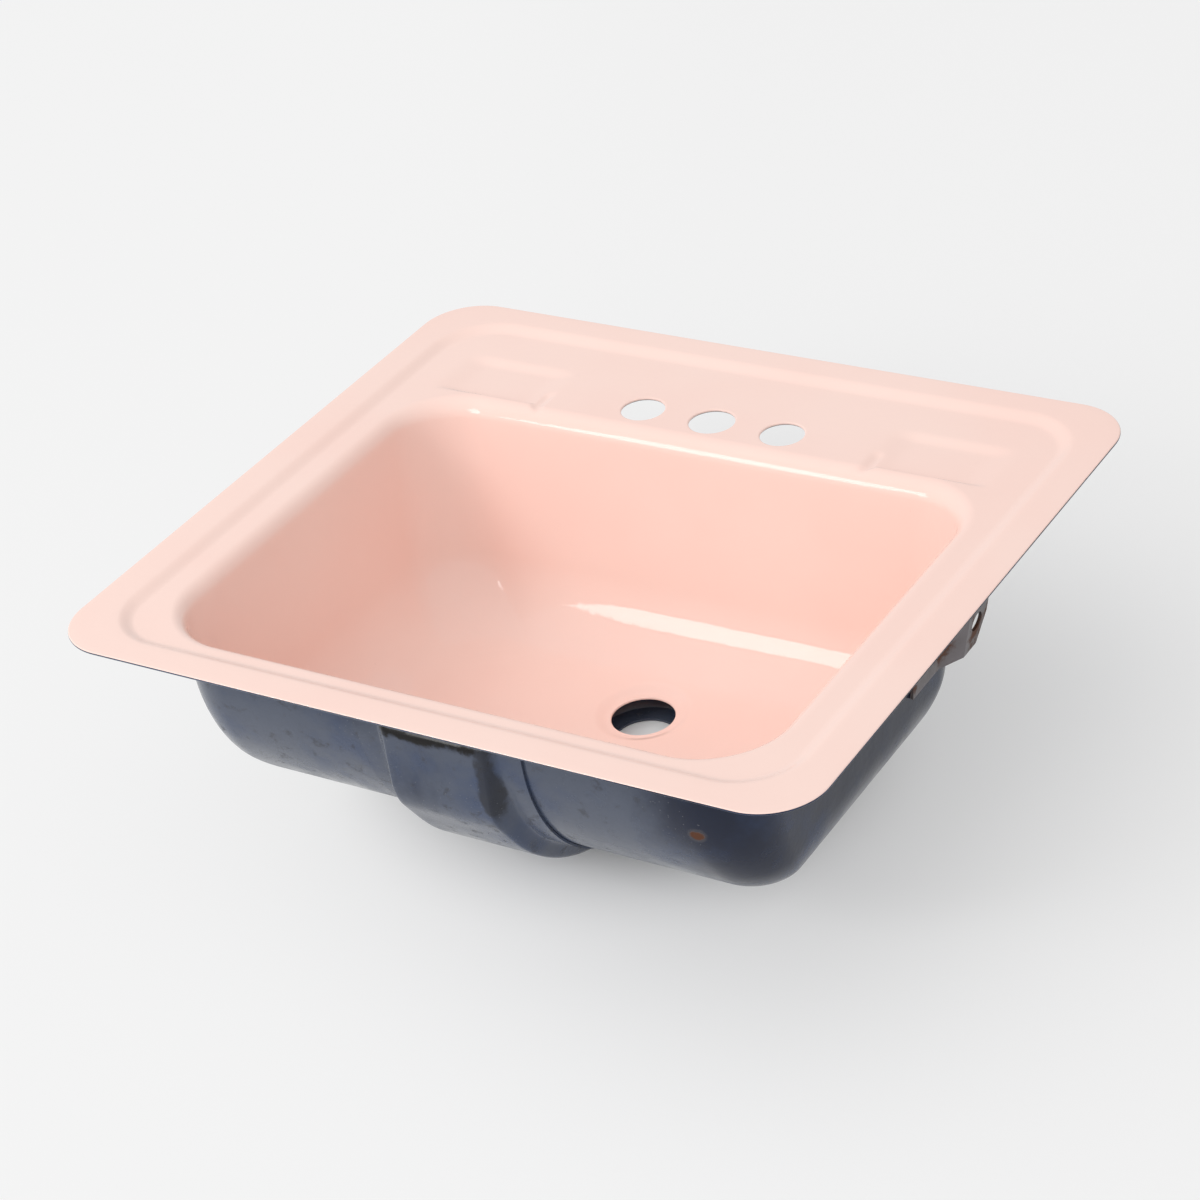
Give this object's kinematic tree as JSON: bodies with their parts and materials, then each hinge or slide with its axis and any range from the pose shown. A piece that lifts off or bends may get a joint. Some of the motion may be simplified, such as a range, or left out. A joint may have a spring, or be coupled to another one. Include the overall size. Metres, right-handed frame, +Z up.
{
  "type": "metal washbasin",
  "caption": "Vintage enamelled steel washbasin with a flat rim, soap dishes, a row of tap holes and a welded overflow casing.",
  "frame": {"origin": "under the middle of the rim in plan, level with the flat underside of the overflow casing, which is the lowest point", "axes": "+Z up out of the bowl, +X to the right along the row of tap holes, +Y to the back, where the tap ledge is"},
  "size_m": [0.508, 0.4572, 0.17],
  "materials": {
    "enamel": "gloss",
    "ground_coat": "gloss",
    "bracket_steel": "worn"
  },
  "bodies": {
    "root": {"rim_and_ledge": "enamel", "bowl": "enamel", "overflow_casing": "ground_coat", "bracket_right": "bracket_steel", "bracket_left": "bracket_steel"}
  },
  "joints": []
}
